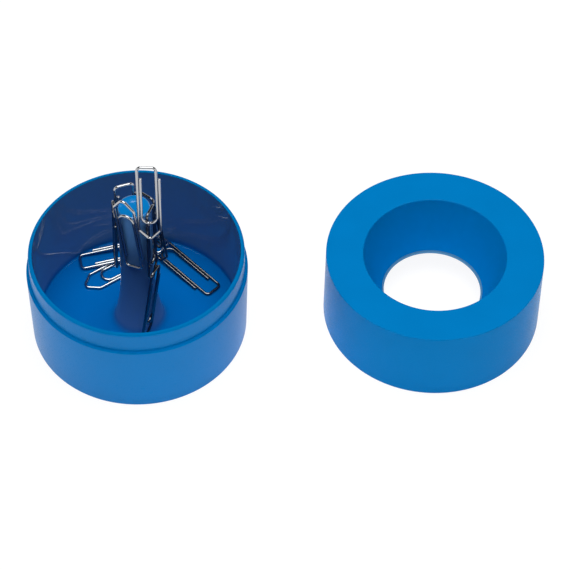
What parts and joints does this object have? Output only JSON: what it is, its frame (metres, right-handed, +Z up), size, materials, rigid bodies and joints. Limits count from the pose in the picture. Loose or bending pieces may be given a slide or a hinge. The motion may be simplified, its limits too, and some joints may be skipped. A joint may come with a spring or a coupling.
{
  "type": "paper clip holder",
  "caption": "Round magnetic paper clip holder: cup with a magnet post, a funnel-mouthed lid standing beside it, and wire clips held on the post and lying in the cup.",
  "frame": {"origin": "middle of the cup's underside, on the surface it stands on", "axes": "+Z up along the cup's post, +X towards the lid that stands beside the cup"},
  "size_m": [0.1689, 0.0789, 0.0804],
  "materials": {
    "cup_plastic": "blue moulded polystyrene, satin outside, glossy inside",
    "lid_plastic": "blue moulded polystyrene, satin",
    "magnet": "cast magnet alloy, ground",
    "plug_plastic": "blue moulded polystyrene",
    "clip_wire": "bright zinc plated drawn steel wire"
  },
  "bodies": {
    "cup": {"base_cup": "cup_plastic", "bar_magnet": "magnet", "magnet_plug": "plug_plastic"},
    "lid": {"lid": "lid_plastic"},
    "clip_standing": {"clip_standing": "clip_wire"},
    "clip_front": {"clip_front": "clip_wire"},
    "clip_left": {"clip_left": "clip_wire"},
    "clip_back": {"clip_back": "clip_wire"},
    "clip_far_right": {"clip_far_right": "clip_wire"},
    "clip_right": {"clip_right": "clip_wire"},
    "clip_leaning": {"clip_leaning": "clip_wire"},
    "clip_floor_low": {"clip_floor_low": "clip_wire"},
    "clip_floor_right": {"clip_floor_right": "clip_wire"},
    "clip_floor_top": {"clip_floor_top": "clip_wire"}
  },
  "joints": [
    {"name": "lid_lift", "type": "slide", "parent": "cup", "child": "lid", "axis": [0, 0, 1], "range_m": [0, 0.085]},
    {"name": "standing_pull", "type": "slide", "parent": "cup", "child": "clip_standing", "axis": [0, 0, 1], "range_m": [0, 0.035]},
    {"name": "front_pull", "type": "slide", "parent": "cup", "child": "clip_front", "axis": [-0.3522, -0.7912, 0.5], "range_m": [0, 0.025]},
    {"name": "left_pull", "type": "slide", "parent": "cup", "child": "clip_left", "axis": [-0.8529, -0.1504, 0.5], "range_m": [0, 0.025]},
    {"name": "back_pull", "type": "slide", "parent": "cup", "child": "clip_back", "axis": [-0.282, 0.8188, 0.5], "range_m": [0, 0.025]},
    {"name": "far_right_pull", "type": "slide", "parent": "cup", "child": "clip_far_right", "axis": [0.5567, 0.6634, 0.5], "range_m": [0, 0.025]},
    {"name": "right_pull", "type": "slide", "parent": "cup", "child": "clip_right", "axis": [0.0523, 0.0905, 0.9945], "range_m": [0, 0.014]},
    {"name": "leaning_pull", "type": "slide", "parent": "cup", "child": "clip_leaning", "axis": [0.7972, -0.3384, 0.5], "range_m": [0, 0.018]},
    {"name": "floor_low_pull", "type": "slide", "parent": "cup", "child": "clip_floor_low", "axis": [-0.809, -0.5878, 0], "range_m": [0, 0.01]},
    {"name": "floor_right_pull", "type": "slide", "parent": "cup", "child": "clip_floor_right", "axis": [0.7132, -0.7009, 0], "range_m": [0, 0.006]},
    {"name": "floor_top_pull", "type": "slide", "parent": "cup", "child": "clip_floor_top", "axis": [0, 0, 1], "range_m": [0, 0.03]}
  ]
}
